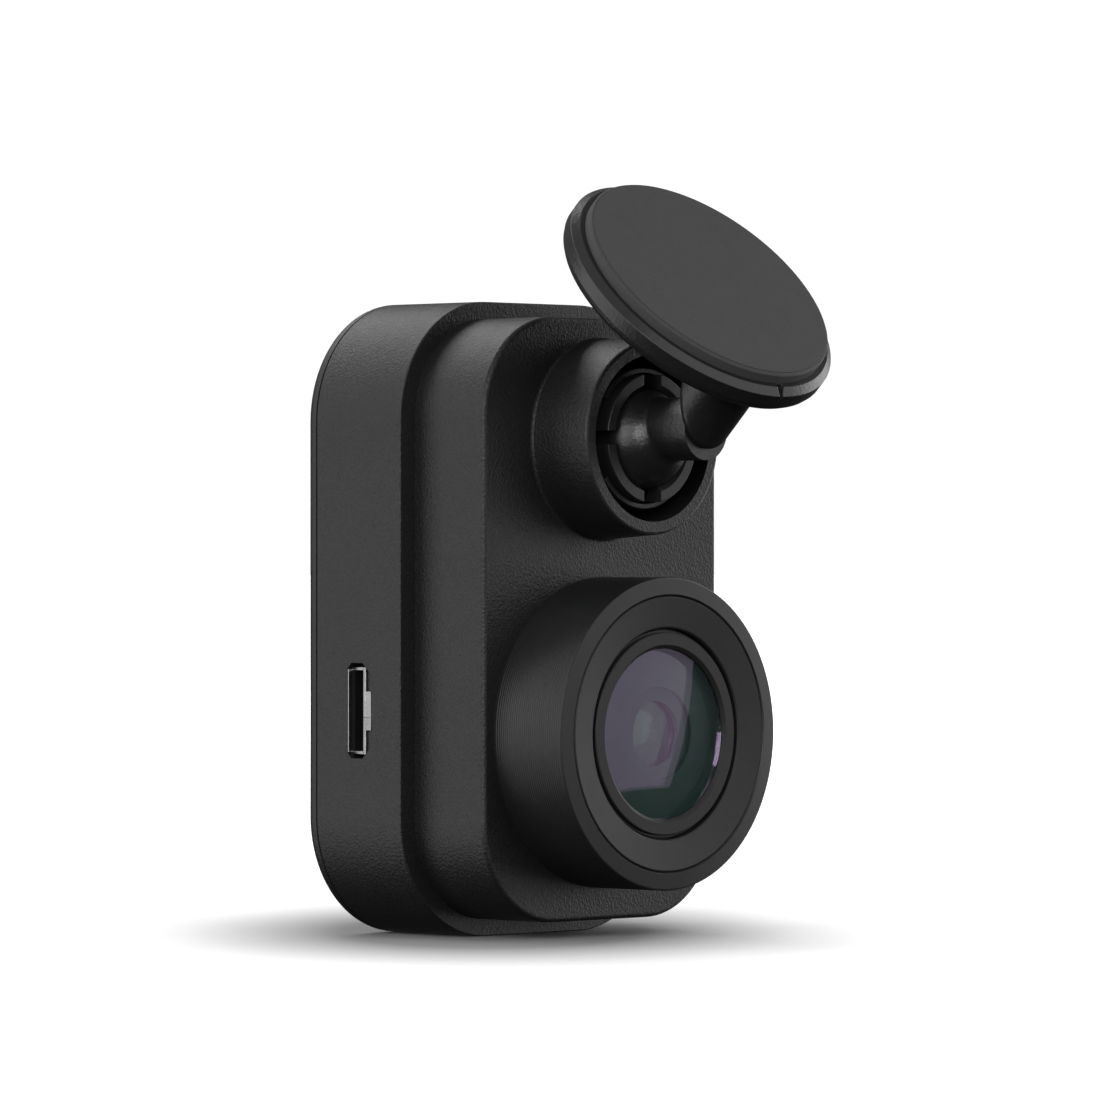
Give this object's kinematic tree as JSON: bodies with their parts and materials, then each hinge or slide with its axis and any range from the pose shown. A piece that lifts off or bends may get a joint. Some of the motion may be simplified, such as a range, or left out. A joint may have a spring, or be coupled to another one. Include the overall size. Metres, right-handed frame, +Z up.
{
  "type": "dash camera",
  "caption": "Small upright windscreen camera with a stepped body, a large round lens barrel and a ball joint arm on a round adhesive plate.",
  "frame": {"origin": "centre of the adhesive face that sticks to the windscreen", "axes": "+Z up along the camera body's long side, +X to the right of someone who faces the lens, the lens looks along -Y"},
  "size_m": [0.0319, 0.0399, 0.0623],
  "materials": {
    "shell_plastic": "satin black moulded plastic with fine spark grain",
    "cover_plastic": "satin black moulded plastic",
    "arm_plastic": "semi-gloss black glass-filled plastic",
    "pad_adhesive": "dull dark grey acrylic foam",
    "collet_plastic": "dull black acetal",
    "barrel_plastic": "satin black, finely ribbed",
    "bezel_plastic": "fine matt black",
    "lens_black": "black anodised",
    "lens_glass": "coated optical glass",
    "rubber_black": "soft black rubber",
    "board_mask": "green solder mask",
    "chip_black": "matt epoxy",
    "heat_gap": "soft silicone",
    "spreader_alloy": "plain rolled",
    "cell_foil": "foil pouch",
    "tin_steel": "bright tin plate",
    "black_steel": "black oxide",
    "contact_gold": "gold plate",
    "flex_amber": "polyimide film",
    "card_plastic": "black card plastic",
    "clear_plastic": "frosted clear polycarbonate",
    "led_white": "phosphor window",
    "spring_steel": "plain spring steel",
    "button_plastic": "satin black, slightly smoother than the shell"
  },
  "bodies": {
    "mount": {"mount_arm": "arm_plastic", "adhesive_pad": "pad_adhesive"},
    "seat_cup": {"ball_seat_cup": "collet_plastic"},
    "spring_cup": {"ball_spring_cup": "spring_steel"},
    "camera": {"ball_collet": "collet_plastic", "collet_sleeve": "collet_plastic", "front_housing": "shell_plastic", "main_housing": "shell_plastic", "rear_cover": "cover_plastic", "seam_gasket": "rubber_black", "lens_barrel": "barrel_plastic", "lens_bezel": "bezel_plastic", "lens_cell": "lens_black", "lens_baffle": "lens_black", "retaining_ring": "lens_black", "front_glass": "lens_glass", "lens_element_2": "lens_glass", "lens_element_3": "lens_glass", "lens_element_4": "lens_glass", "aperture_stop": "lens_black", "infrared_filter": "lens_glass", "image_sensor": "chip_black", "lens_holder": "chip_black", "sensor_board": "board_mask", "sensor_screws": "black_steel", "sensor_flex": "flex_amber", "main_board": "board_mask", "board_chips": "chip_black", "heat_pad": "heat_gap", "heat_spreader": "spreader_alloy", "backup_cell": "cell_foil", "speaker": "chip_black", "microphone": "tin_steel", "microphone_gasket": "rubber_black", "status_leds": "led_white", "light_pipes": "clear_plastic", "save_switch": "tin_steel", "mute_switch": "tin_steel", "usb_shell": "tin_steel", "usb_tongue": "chip_black", "usb_contacts": "contact_gold", "card_socket": "tin_steel", "case_screws": "black_steel"},
    "save_button": {"save_button": "button_plastic"},
    "mute_button": {"mute_button": "button_plastic"},
    "memory_card": {"memory_card": "card_plastic"}
  },
  "joints": [
    {"name": "ball_pan", "type": "hinge", "parent": "mount", "child": "seat_cup", "pos_m": [0, 0.00818, -0.01305], "axis": [0, 0, 1], "range_deg": [-20, 20]},
    {"name": "ball_tilt", "type": "hinge", "parent": "seat_cup", "child": "spring_cup", "pos_m": [0, 0.00818, -0.01305], "axis": [1, 0, 0], "range_deg": [-35, 16]},
    {"name": "ball_roll", "type": "hinge", "parent": "spring_cup", "child": "camera", "pos_m": [0, 0.00818, -0.01305], "axis": [0, 1, 0], "range_deg": [-20, 20]},
    {"name": "save_press", "type": "slide", "parent": "camera", "child": "save_button", "axis": [0, -1, 0], "range_m": [0, 0.00035], "stiffness_N_per_m": 600, "springref_m": -0.0008},
    {"name": "mute_press", "type": "slide", "parent": "camera", "child": "mute_button", "axis": [-1, 0, 0], "range_m": [0, 0.00035], "stiffness_N_per_m": 600, "springref_m": -0.0008},
    {"name": "card_slide", "type": "slide", "parent": "camera", "child": "memory_card", "axis": [1, 0, 0], "range_m": [0, 0.016]}
  ]
}
